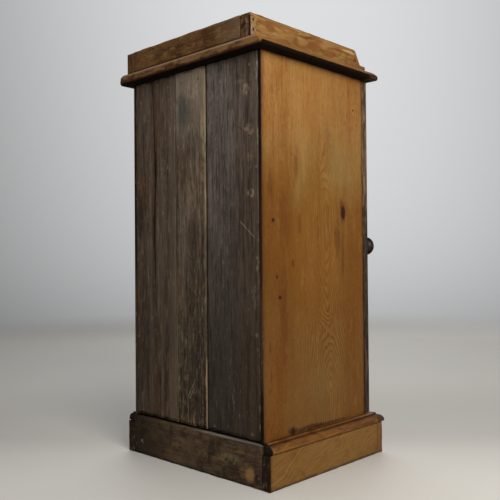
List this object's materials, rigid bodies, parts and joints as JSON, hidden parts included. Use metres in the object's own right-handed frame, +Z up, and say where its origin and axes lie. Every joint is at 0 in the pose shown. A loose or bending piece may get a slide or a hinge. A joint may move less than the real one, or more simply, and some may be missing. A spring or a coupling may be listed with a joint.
{
  "type": "bedside pot cupboard",
  "caption": "Tall narrow pine bedside cupboard with a planked back, plinth, thumb-moulded top, three-sided gallery and one panelled door with a turned knob.",
  "frame": {"origin": "on the floor, in the middle of the whole object's footprint box", "axes": "+Z up; the door faces -Y and the planked back +Y; the hinges are on the +X side"},
  "size_m": [0.402, 0.3774, 0.813],
  "materials": {
    "pine_waxed": "satin",
    "pine_weathered": "matte",
    "pine_inner": "matte",
    "wood_stained_dark": "satin",
    "brass_aged": "aged",
    "iron_dark": "dull"
  },
  "bodies": {
    "carcass": {"side_left": "pine_waxed", "side_right": "pine_waxed", "plinth_left": "pine_waxed", "plinth_right": "pine_waxed", "plinth_front": "pine_waxed", "plinth_mould_left": "pine_waxed", "plinth_mould_right": "pine_waxed", "plinth_mould_front": "pine_waxed", "top_board": "pine_waxed", "gallery_left": "pine_waxed", "gallery_right": "pine_waxed", "back_plank_left": "pine_weathered", "back_plank_middle": "pine_weathered", "back_plank_right": "pine_weathered", "plinth_back": "pine_weathered", "gallery_back": "pine_weathered", "bottom_board": "pine_inner", "shelf": "pine_inner", "shelf_cleat_left": "pine_inner", "shelf_cleat_right": "pine_inner", "top_rail_front": "pine_inner", "top_rail_back": "pine_inner", "plinth_rail": "pine_inner", "glue_blocks": "pine_inner", "hinge_upper_frame_leaf": "brass_aged", "hinge_lower_frame_leaf": "brass_aged", "hinge_frame_screws": "brass_aged", "cleat_screws": "iron_dark", "plank_nails": "iron_dark", "plinth_nails": "iron_dark", "top_nails": "iron_dark", "gallery_nails": "iron_dark", "hinge_upper_pin": "iron_dark", "hinge_lower_pin": "iron_dark"},
    "door": {"door_stile_knob": "pine_waxed", "door_stile_hinge": "pine_waxed", "door_rail_top": "pine_waxed", "door_rail_bottom": "pine_waxed", "door_panel": "pine_waxed", "panel_beads": "pine_waxed", "door_pegs": "pine_inner", "hinge_upper_door_leaf": "brass_aged", "hinge_lower_door_leaf": "brass_aged", "hinge_door_screws": "brass_aged"},
    "latch": {"knob": "wood_stained_dark", "turn_button": "wood_stained_dark", "turn_button_screw": "iron_dark"}
  },
  "joints": [
    {"name": "door_swing", "type": "hinge", "parent": "carcass", "child": "door", "pos_m": [0.1831, -0.13425, 0.4165], "axis": [0, 0, 1], "range_deg": [0, 180]},
    {"name": "knob_turn", "type": "hinge", "parent": "door", "child": "latch", "pos_m": [-0.155, -0.14275, 0.418], "axis": [0, 1, 0], "range_deg": [0, 90]}
  ]
}
